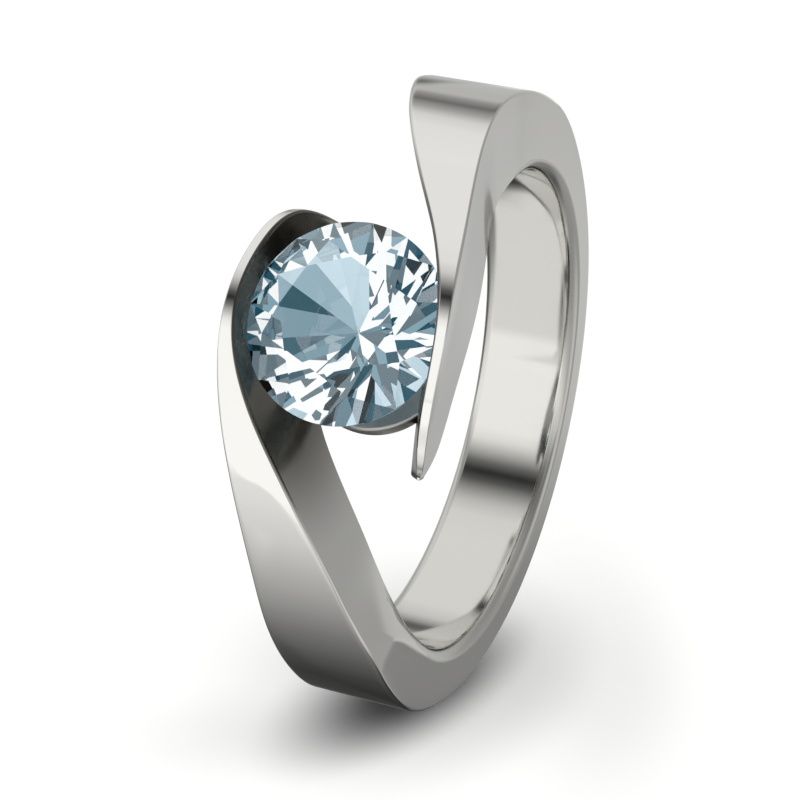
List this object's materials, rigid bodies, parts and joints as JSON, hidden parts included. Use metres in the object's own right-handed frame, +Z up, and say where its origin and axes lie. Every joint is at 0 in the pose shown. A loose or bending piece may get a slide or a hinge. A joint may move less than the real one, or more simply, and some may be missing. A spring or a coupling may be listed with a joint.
{
  "type": "finger ring",
  "caption": "Polished finger ring whose two band ends pass each other and grip a round faceted pale blue stone between them.",
  "frame": {"origin": "middle of the finger bore, on its axis", "axes": "-Y towards the stone, +Z up with the ring lying on its side; the bore's axis leans 4.35 degrees from +Z towards +Y"},
  "size_m": [0.022, 0.0238, 0.0073],
  "materials": {
    "white_gold": "mirror polished, slightly warm white",
    "aquamarine": "clear pale blue beryl with polished facets"
  },
  "bodies": {
    "root": {"band": "white_gold", "aquamarine": "aquamarine"}
  },
  "joints": []
}
